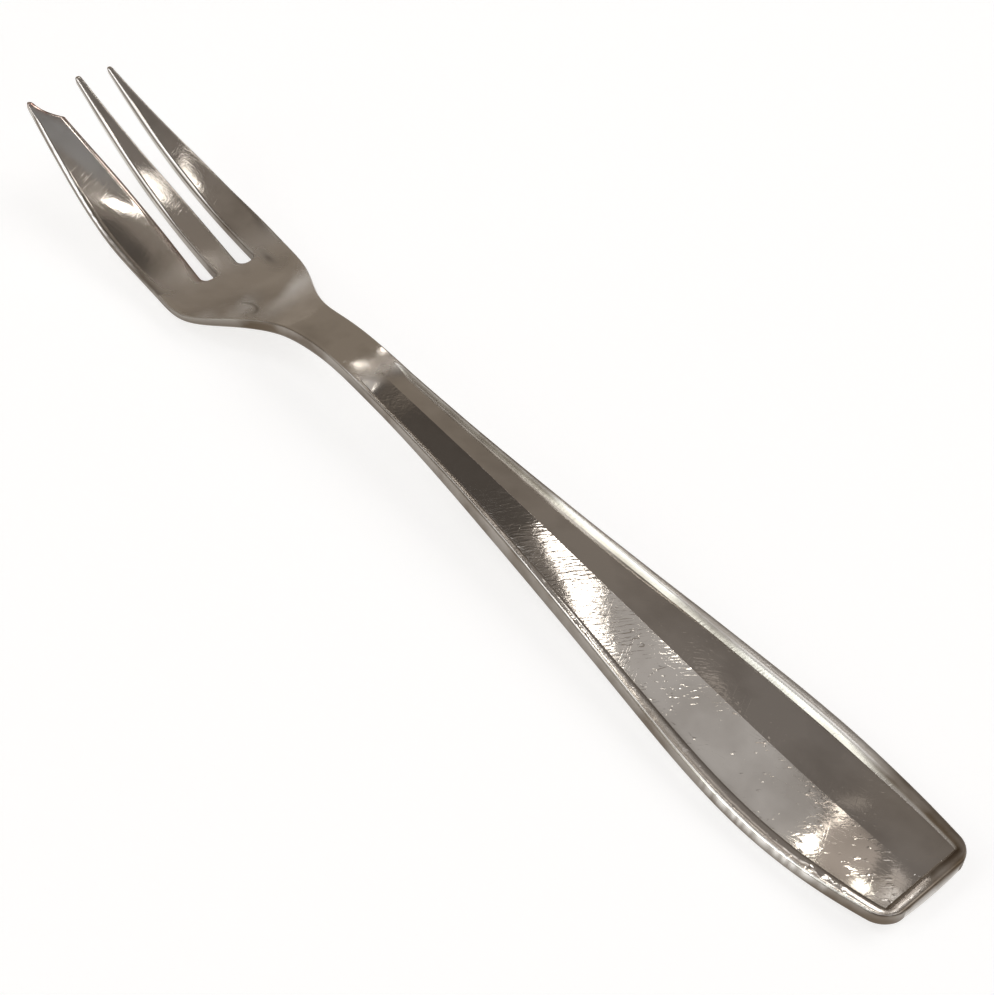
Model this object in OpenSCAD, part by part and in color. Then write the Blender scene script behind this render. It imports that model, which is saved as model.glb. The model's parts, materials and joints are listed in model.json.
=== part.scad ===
// Three-tine fork with a broad cutting tine on its left and a faceted, bordered handle.
// The real fork is one struck and bent blank. Each sub-part here is one region of that blank,
// and neighbouring regions share the flat section where they meet.
// X runs from the handle end to the tips, Y to the fork's left, Z up.
// The fork lies face up on Z = 0, with the origin below the middle of its length.

/* [Lengths] */
// Handle, from its square end to where the border runs out
handle_l = 84; // [78:1:90]
// Neck, from the handle to where the shoulders start to spread
neck_l = 13; // [11:1:15]
// Palm, from the neck to the root of the slots
palm_l = 21; // [19:1:23]
// Tines, from the root of the slots to the longest tip
tine_l = 38.5; // [34:0.5:42]
// How much shorter than the middle tine the outer tine is
outer_short = 0.4; // [0:0.1:1.5]
// How much shorter than the middle tine the broad tine is
broad_short = 1.3; // [0.5:0.1:2]

/* [Widths] */
// Handle at its widest
handle_w = 15.8; // [14:0.1:17]
// Handle at its square end, before the corners are rounded
handle_end_w = 11.6; // [10:0.1:13]
// Rounding of the two end corners, in plan
corner_r = 2; // [1:0.1:2.5]
// Neck at its narrowest
neck_w = 6.1; // [5:0.1:7]
// Head across the root of the tines
head_w = 19; // [17:0.1:20]
// How much fuller the left shoulder is, on the side of the broad tine
left_swell = 0.6; // [0:0.05:0.7]

/* [Heights] */
// Border of the handle above the table, where it dips lowest
handle_low = 2.3; // [2.25:0.05:2.35]
// How far the handle's end turns up from there
end_lift = 0.75; // [0.4:0.05:0.9]
// Top of the neck above the table, at the crest of the arch
neck_rise = 8.55; // [7:0.05:9.5]
// Edge of the palm above the table, where it is lowest
palm_low = 2.95; // [2.9:0.05:3]
// Tips of the tines above the table
tip_rise = 13.6; // [12:0.1:15]

/* [Thickness] */
// Handle at its middle line
handle_t = 2.75; // [2.7:0.05:2.8]
// Neck at its middle line
neck_t = 3.1; // [2.8:0.05:3.4]
// Palm at its middle line
palm_t = 1.9; // [1.85:0.05:1.95]
// Tines at their tips
tip_t = 0.95; // [0.8:0.05:1.1]
// Side wall of the handle at its end, of the handle at half length, and of the neck and the tine tips
wall_t = [1.55, 2.2, 1.65, 0.8]; // [0.7:0.05:2.3]

/* [Handle face] */
// Height of the ridge over the outer edge of its two facets
ridge_h = 1; // [0.8:0.05:1.1]
// Crown of the handle's face over its border
crown_h = 0.4; // [0.2:0.05:0.5]
// How far the face is sunk below the border at the square end
end_sink = 0.35; // [0.2:0.05:0.4]
// Share of the half width that the raised border takes up
border_share = 0.21; // [0.18:0.01:0.24]
// Width of the border across the square end
border_end_w = 1.4; // [1:0.1:1.8]

/* [Head] */
// How far the palm is dished below its edges
dish_h = 1.1; // [1.05:0.05:1.15]
// Outer edge of the broad tine from the middle line, at 0.3, 0.5, 0.75 and 1.0 of its length
broad_outer = [9.7, 9.2, 8.1, 6.9]; // [6.7:0.05:9.9]
// Inner edge of the broad tine, at the root, at 0.3 and 0.65 of its length, and where the notch starts
broad_inner = [2.85, 2.3, 2.35, 3.3]; // [2.1:0.05:3.5]
// Left edge of the middle tine, at the root, at 0.3 and 0.65 of its length, and at its tip
middle_left = [0.65, 0.5, -0.2, -1.3]; // [-1.4:0.05:0.8]
// Right edge of the middle tine, at the same places
middle_right = [-2.8, -3.1, -2.75, -2.2]; // [-3.2:0.05:-2.1]
// Inner edge of the outer tine, at the same places
outer_inner = [-5.2, -5, -5.3, -6.1]; // [-6.2:0.05:-4.9]
// Outer edge of the outer tine from the middle line, at 0.3, 0.5, 0.75 and 1.0 of its length
outer_outer = [9.3, 8.85, 7.85, 6.85]; // [6.7:0.05:9.6]
// Length of the hollow cut at the tip of the broad tine
notch_l = 4; // [3:0.1:5]
// Fall of the bevel along the cutting edge
bevel_h = 0.35; // [0.2:0.05:0.5]
// Rounding of the edges between the side walls and the face and back
rim_r = 0.25; // [0.1:0.05:0.3]
// Rounding of the tips
tip_r = 0.7; // [0.4:0.1:1]

/* [Hidden] */

metal = [0.62, 0.58, 0.53];
handle_steps = 32;
run_out_steps = 6;
neck_steps = 7;
palm_steps = 12;
tine_steps = 15;

neck_x = handle_l;
palm_x = neck_x + neck_l;
root_x = palm_x + palm_l;
tip_x = root_x + tine_l;
outer_tip_x = tip_x - outer_short;
broad_tip_x = tip_x - broad_short;
notch_x = broad_tip_x - notch_l;
handle_hw = handle_w / 2;
neck_hw = neck_w / 2;
head_hw = head_w / 2;
panel_share = 1 - border_share;
// Power by which the thickness falls from the middle line to the side walls
back_power = 2.5;
// Share of the handle's length where the struck face starts to run out
run_out = 0.955;
// Fullness of the border's half-round section, where 2 is a circle, and how far it turns down outside
bead_power = 3;
bead_edge = 0.75;
// Shares of the broad tine: length over which the bevel starts from the root, and its width
bevel_start = 0.2;
bevel_share = 0.1;
// Share of the section left at the very tip, width of the spike there, and power of the hollow cut
tip_left = 0.3;
spike_w = 0.95;
hollow_power = 2;
left_slot_y = (broad_inner[0] + middle_left[0]) / 2;
right_slot_y = (middle_right[0] + outer_inner[0]) / 2;

// Small helpers: blend from a to b, and a step from 0 to 1 that starts and ends without a kink
function blend(a, b, u) = a + (b - a) * u;
function ease(u) = let (c = max(0, min(1, u))) c * c * c * (c * (6 * c - 15) + 10);
function round_off(u) = sqrt(max(0, 1 - u * u));

// A batten is a natural cubic spline through stations [place, value], as a thin lath
// bends through pegs. It is kept as the stations and the second derivatives at them.
function sweep(k, i = 1, p = [[0, 0]]) =
    i == len(k) - 1 ? p :
    let (
        back = k[i][0] - k[i - 1][0],
        ahead = k[i + 1][0] - k[i][0],
        turn = 6 * ((k[i + 1][1] - k[i][1]) / ahead - (k[i][1] - k[i - 1][1]) / back),
        pivot = 2 * (back + ahead) - back * p[i - 1][0]
    )
    sweep(k, i + 1, concat(p, [[ahead / pivot, (turn - back * p[i - 1][1]) / pivot]]));
function unwind(p, i, bends) =
    i < 0 ? bends : unwind(p, i - 1, concat([p[i][1] - p[i][0] * bends[0]], bends));
function batten(k) = let (p = sweep(k)) [k, unwind(p, len(p) - 1, [0])];
function bay(k, x, i = 0) = i == len(k) - 2 || x < k[i + 1][0] ? i : bay(k, x, i + 1);
function at(b, x) =
    let (
        k = b[0],
        i = bay(k, x),
        h = k[i + 1][0] - k[i][0],
        u = (x - k[i][0]) / h,
        v = 1 - u
    )
    v * k[i][1] + u * k[i + 1][1]
        + ((v * v * v - v) * b[1][i] + (u * u * u - u) * b[1][i + 1]) * h * h / 6;

// Plan: both sides share the handle and neck, and part ways at the shoulders
tine_places = [0.3, 0.5, 0.75, 1];
inner_places = [0, 0.3, 0.65, 1];
stem_plan = [
    [0, handle_end_w / 2],
    [0.06 * handle_l, 0.865 * handle_hw],
    [0.185 * handle_l, handle_hw],
    [0.38 * handle_l, 0.865 * handle_hw],
    [0.6 * handle_l, 0.62 * handle_hw],
    [0.82 * handle_l, blend(neck_hw, handle_hw, 0.1)],
    [neck_x, neck_hw],
    [neck_x + 0.77 * neck_l, neck_hw],
    [palm_x + 0.14 * palm_l, blend(neck_hw, head_hw, 0.11)]
];
function shoulder(swell) = [
    [palm_x + 0.43 * palm_l, blend(neck_hw, head_hw, 0.49) + 0.5 * swell],
    [palm_x + 0.71 * palm_l, blend(neck_hw, head_hw, 0.86) + swell],
    [root_x, head_hw]
];
function along(x_end, places, values) =
    [for (i = [0:3]) [blend(root_x, x_end, places[i]), values[i]]];
left_plan = batten(concat(stem_plan, shoulder(left_swell), along(broad_tip_x, tine_places, broad_outer)));
right_plan = batten(concat(stem_plan, shoulder(0), along(outer_tip_x, tine_places, outer_outer)));
broad_inner_plan = batten(along(notch_x, inner_places, broad_inner));
middle_left_plan = batten(along(tip_x, inner_places, middle_left));
middle_right_plan = batten(along(tip_x, inner_places, middle_right));
outer_inner_plan = batten(along(outer_tip_x, inner_places, outer_inner));

// Place across the blank: f runs from -1 at the right side wall to 1 at the left one
function corner_cut(x) = x < corner_r ? corner_r * (1 - round_off(1 - x / corner_r)) : 0;
function side_y(x, f) = f * (at(f > 0 ? left_plan : right_plan, x) - corner_cut(x));
function wall_distance(x, f) = abs(side_y(x, f < 0 ? -1 : 1) - side_y(x, f));

// Side view: height of the edges, rise of the middle over them, and the two thicknesses
edge_line = batten([
    [0, handle_low + end_lift],
    [0.06 * handle_l, handle_low + end_lift / 3],
    [0.13 * handle_l, handle_low],
    [0.225 * handle_l, blend(handle_low, neck_rise, 0.04)],
    [0.405 * handle_l, blend(handle_low, neck_rise, 0.26)],
    [0.6 * handle_l, blend(handle_low, neck_rise, 0.52)],
    [0.82 * handle_l, blend(handle_low, neck_rise, 0.775)],
    [0.975 * handle_l, blend(handle_low, neck_rise, 0.935)],
    [neck_x + 0.46 * neck_l, blend(palm_low, neck_rise, 0.99)],
    [palm_x + 0.05 * palm_l, blend(palm_low, neck_rise, 0.755)],
    [palm_x + 0.43 * palm_l, blend(palm_low, neck_rise, 0.36)],
    [palm_x + 0.81 * palm_l, palm_low],
    [root_x + 0.105 * tine_l, blend(palm_low, tip_rise, 0.05)],
    [root_x + 0.42 * tine_l, blend(palm_low, tip_rise, 0.285)],
    [root_x + 0.76 * tine_l, blend(palm_low, tip_rise, 0.665)],
    [tip_x, tip_rise]
]);
crown_line = batten([
    [0, -end_sink],
    [0.06 * handle_l, crown_h / 4],
    [0.145 * handle_l, crown_h],
    [0.48 * handle_l, 0.9 * crown_h],
    [0.82 * handle_l, 0.6 * crown_h],
    [neck_x, crown_h / 4],
    [neck_x + 0.77 * neck_l, 0],
    [palm_x + 0.24 * palm_l, -0.1 * dish_h],
    [palm_x + 0.52 * palm_l, -0.45 * dish_h],
    [palm_x + 0.81 * palm_l, -0.95 * dish_h],
    [root_x + 0.105 * tine_l, -0.95 * dish_h],
    [root_x + 0.42 * tine_l, -0.68 * dish_h],
    [tip_x, -0.32 * dish_h]
]);
middle_t = batten([
    [0, 0.63 * handle_t],
    [0.06 * handle_l, 0.93 * handle_t],
    [0.13 * handle_l, handle_t],
    [0.24 * handle_l, 0.97 * handle_t],
    [0.5 * handle_l, blend(handle_t, neck_t, 0.3)],
    [neck_x + 0.46 * neck_l, neck_t],
    [palm_x + 0.14 * palm_l, blend(palm_t, neck_t, 0.65)],
    [palm_x + 0.52 * palm_l, blend(palm_t, neck_t, 0.17)],
    [palm_x + 0.81 * palm_l, palm_t],
    [root_x + 0.06 * tine_l, blend(tip_t, palm_t, 0.7)],
    [root_x + 0.45 * tine_l, blend(tip_t, palm_t, 0.42)],
    [tip_x, tip_t]
]);
edge_t = batten([
    [0, wall_t[0]],
    [0.24 * handle_l, blend(wall_t[0], wall_t[1], 0.25)],
    [0.5 * handle_l, 0.97 * wall_t[1]],
    [0.71 * handle_l, wall_t[1]],
    [0.93 * handle_l, blend(wall_t[3], wall_t[1], 0.5)],
    [neck_x + 0.62 * neck_l, wall_t[2]],
    [palm_x + 0.24 * palm_l, blend(wall_t[3], wall_t[2], 0.75)],
    [palm_x + 0.62 * palm_l, blend(wall_t[3], wall_t[2], 0.35)],
    [root_x, blend(wall_t[3], wall_t[2], 0.23)],
    [tip_x, wall_t[3]]
]);
facet_fall = batten([
    [0, 0],
    [0.06 * handle_l, 0.45 * ridge_h],
    [0.145 * handle_l, ridge_h],
    [0.36 * handle_l, 1.05 * ridge_h],
    [0.6 * handle_l, ridge_h],
    [0.8 * handle_l, 0.75 * ridge_h],
    [0.95 * handle_l, 0.6 * ridge_h],
    [handle_l, 0.55 * ridge_h]
]);

// The bent blank before its face is struck
function blank_z(x, f) = at(edge_line, x) + at(crown_line, x) * (1 - f * f);
function back_z(x, f) =
    blank_z(x, f) - blend(at(middle_t, x), at(edge_t, x), pow(abs(f), back_power));

// A rounded rim of radius r: how far it has fallen at a distance d in from the side wall
function rim(d, r = rim_r) = d < r ? r * (1 - round_off(1 - d / r)) : 0;

// The struck face: facets falling from the ridge to a groove, then a half-round border
// that follows the sides and the square end. It runs out before the neck.
function bead(v) =
    let (u = v < 0.5 ? 1 - 2 * v : bead_edge * (2 * v - 1))
    pow(1 - pow(u, bead_power), 1 / bead_power);
function struck_z(x, f) =
    let (
        framed = max(abs(f), 1 - border_share * x / border_end_w),
        v = max(0, (framed - panel_share) / border_share),
        edge = at(edge_line, x),
        facet = edge + at(crown_line, x) - at(facet_fall, x) * min(1, abs(f) / panel_share)
    )
    blend(facet, edge, bead(v));
function face_z(x, f) =
    let (
        plain = blank_z(x, f) - rim(wall_distance(x, f)),
        struck_left = 1 - ease((x / neck_x - run_out) / (1 - run_out))
    )
    struck_left == 0 ? plain : blend(plain, struck_z(x, f), struck_left);

// Lanes across the blank, close together over the border and on each side of the slots
border_lanes = [0.03, 0.15, 0.4, 0.65, 0.85, 1];
slot_gap = 0.03;
border_side = [for (b = border_lanes) 1 - b * border_share];
left_slot = left_slot_y / head_hw;
right_slot = right_slot_y / head_hw;
lanes = concat(
    [-1],
    [for (b = border_side) -b],
    [-0.58, right_slot - slot_gap, right_slot, right_slot + slot_gap],
    [right_slot / 2, 0, left_slot - slot_gap, left_slot, left_slot + slot_gap, 0.42, 0.6],
    [for (i = [len(border_side) - 1:-1:0]) border_side[i]],
    [1]
);
function lanes_between(low, high) = [for (f = lanes) if (f >= low && f <= high) f];

// One section of the blank: the lanes of its face, then the lanes of its back
function blank_section(x) = concat(
    [for (f = lanes) [x, side_y(x, f), face_z(x, f)]],
    [for (f = lanes) [x, side_y(x, f), back_z(x, f) + rim(min(x, wall_distance(x, f)))]]
);

// One section of a tine between two side walls, each with its rim. Near the root the slot
// closes in a half round on its middle line, and near the tip the section shrinks to a blunt point.
function slot_opening(x, slot_w) = round_off(1 - min(1, 2 * (x - root_x) / slot_w));
function tip_share(x, x_end) = x < x_end - tip_r ? 1 : max(tip_left, round_off((x - x_end + tip_r) / tip_r));
function tine_section(x, x_end, low, high, low_rim, high_rim, own_lanes, bevel) =
    let (
        k = tip_share(x, x_end),
        first = own_lanes[0],
        last = own_lanes[len(own_lanes) - 1],
        bevel_now = bevel * ease((x - root_x) / (bevel_start * tine_l)),
        middle = (low + high) / 2,
        rows = [for (f = own_lanes)
            let (
                u = (f - first) / (last - first),
                y = blend(low, high, u),
                across = y / head_hw,
                fall = max(rim(y - low, low_rim), rim(high - y, high_rim)),
                cut = bevel_now * max(0, 1 - (1 - u) / bevel_share),
                top = blank_z(x, across) - fall - cut,
                under = back_z(x, across) + fall,
                half = (top + under) / 2
            )
            [blend(middle, y, k), blend(half, top, k), blend(half, under, k)]]
    )
    concat([for (r = rows) [x, r[0], r[1]]], [for (r = rows) [x, r[0], r[2]]]);

// Skin of a loft: each section has n lanes on its face and n on its back
function two(a, b, c, d) = [[a, b, c], [a, c, d]];
function skin(n, count) =
    let (w = 2 * n, end = (count - 1) * w)
    [for (quad = concat(
        [for (i = [0:count - 2], j = [0:n - 2])
            let (p = i * w + j) two(p, p + 1, p + w + 1, p + w)],
        [for (i = [0:count - 2], j = [0:n - 2])
            let (p = i * w + n + j) two(p, p + w, p + w + 1, p + 1)],
        [for (i = [0:count - 2])
            let (p = i * w) two(p, p + w, p + w + n, p + n)],
        [for (i = [0:count - 2])
            let (p = i * w + n - 1) two(p, p + n, p + w + n, p + w)],
        [for (j = [0:n - 2]) two(j + 1, j, n + j, n + j + 1)],
        [for (j = [0:n - 2]) two(end + j, end + j + 1, end + n + j + 1, end + n + j)]
    )) for (face = quad) face];
module loft(sections) {
    n = len(sections[0]) / 2;
    points = [for (s = sections) for (p = s) p - [tip_x / 2, 0, 0]];
    polyhedron(points, skin(n, len(sections)), convexity = 6);
}

// Wear has ground a small flat on the back where the fork rests on the table
module rest_flat() {
    difference() {
        children();
        translate([-tip_x, -head_w, -head_w])
            cube([2 * tip_x, 2 * head_w, head_w]);
    }
}

function steps(from, to, count) = [for (i = [0:count]) blend(from, to, i / count)];
function bead_steps() = [for (b = concat([0], border_lanes)) b * border_end_w];
function slot_steps(slot_w) = [for (q = [0, 0.02, 0.08, 0.2, 0.38, 0.65]) root_x + q * slot_w / 2];
function tip_steps(x_end) = [for (q = [0.25, 0.5, 0.75, 0.9, 1]) x_end - tip_r * (1 - q)];
function tine_stations(slot_w, x_end) = concat(
    slot_steps(slot_w),
    steps(root_x + slot_w / 2, x_end - tip_r, tine_steps),
    tip_steps(x_end)
);

module handle() {
    stations = concat(
        bead_steps(),
        [border_end_w + 0.3],
        steps(corner_r, run_out * neck_x, handle_steps),
        [for (i = [1:run_out_steps]) neck_x * blend(run_out, 1, i / run_out_steps)]
    );
    color(metal)
        rest_flat()
            loft([for (x = stations) blank_section(x)]);
}

module neck() {
    color(metal)
        loft([for (x = steps(neck_x, palm_x, neck_steps)) blank_section(x)]);
}

module palm() {
    color(metal)
        rest_flat()
            loft([for (x = steps(palm_x, root_x, palm_steps)) blank_section(x)]);
}

// The broad tine's tip is cut away in a hollow that leaves a spike on its outer side
function notch_in(x) = x < notch_x ? 0 : 1 - pow(max(0, 1 - (x - notch_x) / notch_l), hollow_power);
module broad_tine() {
    slot_w = broad_inner[0] - middle_left[0];
    spike_y = broad_outer[3] - spike_w;
    notch_steps = [for (q = [0.01, 0.04, 0.1, 0.2, 0.35, 0.5, 0.65]) notch_x + q * notch_l];
    stations = concat(
        slot_steps(slot_w),
        steps(root_x + slot_w / 2, notch_x, tine_steps),
        notch_steps,
        tip_steps(broad_tip_x)
    );
    color(metal)
        loft([for (x = stations)
            let (
                open = slot_opening(x, slot_w),
                inner = blend(left_slot_y, at(broad_inner_plan, min(x, notch_x)), open),
                low = blend(inner, spike_y, notch_in(x)),
                high = at(left_plan, x),
                own_lanes = lanes_between(left_slot, 1)
            )
            tine_section(x, broad_tip_x, low, high, rim_r * open, rim_r, own_lanes, bevel_h)]);
}

module middle_tine() {
    left_w = broad_inner[0] - middle_left[0];
    right_w = middle_right[0] - outer_inner[0];
    color(metal)
        loft([for (x = tine_stations(min(left_w, right_w), tip_x))
            let (
                low_open = slot_opening(x, right_w),
                high_open = slot_opening(x, left_w),
                low = blend(right_slot_y, at(middle_right_plan, x), low_open),
                high = blend(left_slot_y, at(middle_left_plan, x), high_open),
                own_lanes = lanes_between(right_slot, left_slot)
            )
            tine_section(x, tip_x, low, high, rim_r * low_open, rim_r * high_open, own_lanes, 0)]);
}

module outer_tine() {
    slot_w = middle_right[0] - outer_inner[0];
    color(metal)
        loft([for (x = tine_stations(slot_w, outer_tip_x))
            let (
                open = slot_opening(x, slot_w),
                low = -at(right_plan, x),
                high = blend(right_slot_y, at(outer_inner_plan, x), open),
                own_lanes = lanes_between(-1, right_slot)
            )
            tine_section(x, outer_tip_x, low, high, rim_r, rim_r * open, own_lanes, 0)]);
}

handle();
neck();
palm();
broad_tine();
middle_tine();
outer_tine();
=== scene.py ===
# %% [markdown]
# # A worn serving fork, struck from one blank
# The real fork is one bar of metal: rolled, cut to its outline, struck between dies, bent and silver-
# plated. Decades of use left soft edges, fine scratches and a little tarnish. A subdivision surface could
# look like it, but a mirror shows every lump. So each region gets a fine skin, worked out from a
# toolmaker's drawing: a plan, a side view and the section across the handle. The CAD solids come first,
# as a fixed frame.

# %% Load the frame
import json
import math

import bpy
import numpy as np
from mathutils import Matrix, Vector

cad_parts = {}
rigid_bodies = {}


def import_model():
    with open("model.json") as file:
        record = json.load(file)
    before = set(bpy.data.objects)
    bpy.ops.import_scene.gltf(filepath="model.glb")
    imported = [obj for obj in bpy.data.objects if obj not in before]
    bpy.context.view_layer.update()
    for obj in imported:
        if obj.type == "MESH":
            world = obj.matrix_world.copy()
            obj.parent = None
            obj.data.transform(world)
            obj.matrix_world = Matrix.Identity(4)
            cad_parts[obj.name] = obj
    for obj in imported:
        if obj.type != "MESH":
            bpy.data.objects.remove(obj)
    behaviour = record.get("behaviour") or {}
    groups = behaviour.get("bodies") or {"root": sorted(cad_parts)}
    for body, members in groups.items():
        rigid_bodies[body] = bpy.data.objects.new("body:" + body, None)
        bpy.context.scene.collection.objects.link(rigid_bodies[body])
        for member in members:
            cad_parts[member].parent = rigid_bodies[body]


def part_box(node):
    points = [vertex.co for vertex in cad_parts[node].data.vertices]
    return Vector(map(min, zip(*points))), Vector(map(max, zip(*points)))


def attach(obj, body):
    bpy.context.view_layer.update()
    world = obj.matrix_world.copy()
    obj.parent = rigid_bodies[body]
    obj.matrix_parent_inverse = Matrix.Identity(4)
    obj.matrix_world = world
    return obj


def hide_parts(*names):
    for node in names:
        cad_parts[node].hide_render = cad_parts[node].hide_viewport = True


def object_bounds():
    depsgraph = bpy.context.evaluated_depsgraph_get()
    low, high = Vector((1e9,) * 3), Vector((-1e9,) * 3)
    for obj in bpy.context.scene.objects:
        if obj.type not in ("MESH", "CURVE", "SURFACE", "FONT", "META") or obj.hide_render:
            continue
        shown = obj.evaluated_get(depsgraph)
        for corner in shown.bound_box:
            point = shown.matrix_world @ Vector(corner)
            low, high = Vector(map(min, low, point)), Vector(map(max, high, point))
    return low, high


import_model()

MM = 0.001


def corners_of(box):
    return [[float(value) for value in corner] for corner in box]


def in_mm(corners):
    return [[round(value / MM, 2) for value in corner] for corner in corners]


cad_box = corners_of(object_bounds())
print("CAD box in mm:", in_mm(cad_box))

# %% [markdown]
# ## The camera
# The photo looks down at about 45 degrees from close to the handle end: a millimetre there looks half as
# big again as one at the tines. A longer lens from further off would flatten that. Lens, height and
# heading were found by matching the outline. A close camera needs a short near limit, or it cuts the
# handle away.

# %% Camera
IMAGE_W = 994
FOCAL_PX = 1560
SENSOR_W = 36
HEADING = math.radians(-39.12)
LOOK_DOWN = math.radians(44.71)
CAMERA_DISTANCE = 169.73 * MM
AIM = Vector((-17.56, 0.44, 5.08)) * MM
NEAR_LIMIT = 5 * MM

lens = bpy.data.cameras.new("photo_camera")
lens.sensor_fit = "HORIZONTAL"
lens.sensor_width = SENSOR_W
lens.lens = SENSOR_W * FOCAL_PX / IMAGE_W
lens.clip_start = NEAR_LIMIT
ahead = Vector((
    math.cos(LOOK_DOWN) * math.cos(HEADING),
    math.cos(LOOK_DOWN) * math.sin(HEADING),
    -math.sin(LOOK_DOWN)))
camera = bpy.data.objects.new("photo_camera", lens)
camera.location = AIM - ahead * CAMERA_DISTANCE
camera.rotation_euler = ahead.to_track_quat("-Z", "Y").to_euler()
bpy.context.scene.collection.objects.link(camera)
bpy.context.scene.camera = camera
print("camera in mm:", *in_mm([camera.location]), "lens", round(lens.lens, 1))

# %% [markdown]
# ## Lines drawn with a batten
# A boat builder draws a fair curve by bending a thin lath through a few pegs. Bezier curves would do, but
# their handles are tuned by eye. A natural cubic spline is the lath in numbers: a few measured pegs give
# a smooth line, whose reflections don't jump.

# %% Battens


class Batten:
    """A natural cubic spline through pegs (place, value)."""

    def __init__(self, pegs):
        self.x, self.y = np.array(pegs, float).T
        gap = np.diff(self.x)
        slope = np.diff(self.y) / gap
        count = len(self.x)
        matrix = np.eye(count)
        turn = np.zeros(count)
        for i in range(1, count - 1):
            matrix[i, i - 1:i + 2] = gap[i - 1], 2 * (gap[i - 1] + gap[i]), gap[i]
            turn[i] = 6 * (slope[i] - slope[i - 1])
        self.bend = np.linalg.solve(matrix, turn)

    def __call__(self, x):
        i = np.clip(np.searchsorted(self.x, x, side="right") - 1, 0, len(self.x) - 2)
        gap = self.x[i + 1] - self.x[i]
        u = (x - self.x[i]) / gap
        v = 1 - u
        sag = (v**3 - v) * self.bend[i] + (u**3 - u) * self.bend[i + 1]
        return v * self.y[i] + u * self.y[i + 1] + sag * gap * gap / 6


arch = Batten([(0, 0), (1, 1), (2, 0)])
print("a batten over one peg of height 1, half way up:", round(float(arch(0.5)), 3))

# %% [markdown]
# ## Soft changes
# Nothing on a polished fork starts at a hard line. A smoothing modifier on the finished mesh would shrink
# the fork by an amount that nobody chose. These small rules say in millimetres how one shape or mark
# passes into the next.

# %% Soft changes


def blend(a, b, u):
    return a + (b - a) * u


def ease(u):
    """From 0 to 1 without a kink at either end."""
    c = np.clip(u, 0, 1)
    return c * c * c * (c * (6 * c - 15) + 10)


def ramp(x, start, end):
    """0 before start and 1 after end."""
    return ease((x - start) / (end - start))


def round_off(u):
    """A quarter of a circle: 1 at 0, and 0 at 1."""
    return np.sqrt(np.clip(1 - u * u, 0, None))


def bump_at(distance, width):
    """A soft hump: 1 in its middle, and almost nothing at twice its width."""
    return np.exp(-(distance / width) ** 2)


print("a hump at once and twice its width:", np.round(bump_at(np.array([1, 2]), 1), 3))

# %% [markdown]
# ## Lengths from the frame
# A fork's drawing starts with where each region begins. These lengths could be typed in again, but then
# skin and solids might drift apart, so they are read from the boxes of the CAD nodes. All places run in
# millimetres from the handle end.

# %% Lengths


def length_of(node):
    low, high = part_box(node)
    return (high[0] - low[0]) / MM


handle_l = length_of("handle")
neck_l = length_of("neck")
palm_l = length_of("palm")
tine_l = length_of("middle_tine")
neck_x = handle_l
palm_x = neck_x + neck_l
root_x = palm_x + palm_l
tip_x = root_x + tine_l
outer_tip_x = root_x + length_of("outer_tine")
broad_tip_x = root_x + length_of("broad_tine")
notch_l = 4.0
notch_x = broad_tip_x - notch_l
print("whole length", round(tip_x, 2), "mm, handle", round(handle_l, 2), "mm, tines", round(tine_l, 2), "mm")

# %% [markdown]
# ## The plan
# Seen from above, the handle is widest near its square end, the neck is slim, and the shoulders spread
# into the head, the left one a little fuller for the broad tine. A traced outline would carry the wobbles
# of the tracing. So each side is a batten on a few pegs: how far along a region, and how wide the fork is
# there.

# %% Plan
handle_hw = 15.8 / 2
end_hw = 11.6 / 2
neck_hw = 6.1 / 2
head_hw = 19.0 / 2
left_swell = 0.6
corner_r = 2.0
OUTER_PLACES = (0.3, 0.5, 0.75, 1)


def pegs(x_end, places, values):
    """Pegs along a tine, at these shares of the way from its root to x_end."""
    return [(blend(root_x, x_end, place), value) for place, value in zip(places, values)]


def side_plan(swell, x_end, tine_edge):
    """Half widths of one side, from the handle end to the tip of the tine on that side."""
    stem = [
        (0, end_hw),
        (0.06 * handle_l, 0.865 * handle_hw),
        (0.185 * handle_l, handle_hw),
        (0.38 * handle_l, 0.865 * handle_hw),
        (0.6 * handle_l, 0.62 * handle_hw),
        (0.82 * handle_l, blend(neck_hw, handle_hw, 0.1)),
        (neck_x, neck_hw),
        (neck_x + 0.77 * neck_l, neck_hw),
        (palm_x + 0.14 * palm_l, blend(neck_hw, head_hw, 0.11)),
        (palm_x + 0.43 * palm_l, blend(neck_hw, head_hw, 0.49) + 0.5 * swell),
        (palm_x + 0.71 * palm_l, blend(neck_hw, head_hw, 0.86) + swell),
        (root_x, head_hw)]
    return Batten(stem + pegs(x_end, OUTER_PLACES, tine_edge))


left_plan = side_plan(left_swell, broad_tip_x, (9.7, 9.2, 8.1, 6.9))
right_plan = side_plan(0, outer_tip_x, (9.3, 8.85, 7.85, 6.85))


def half_width(plan, x):
    """The plan of one side, with the corner of the square end rounded off."""
    corner = corner_r * (1 - round_off(np.clip(1 - x / corner_r, 0, 1)))
    return plan(x) - corner


print("handle", 2 * handle_hw, "mm wide, neck", 2 * neck_hw, "mm, head", 2 * head_hw, "mm")

# %% [markdown]
# ## The slots
# Two slots with round ends part the three tines. A boolean cut would leave long thin faces, which spoil a
# mirror. So each tine gets its own inner edges as battens, and a slot is what lies between two of them.

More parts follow.
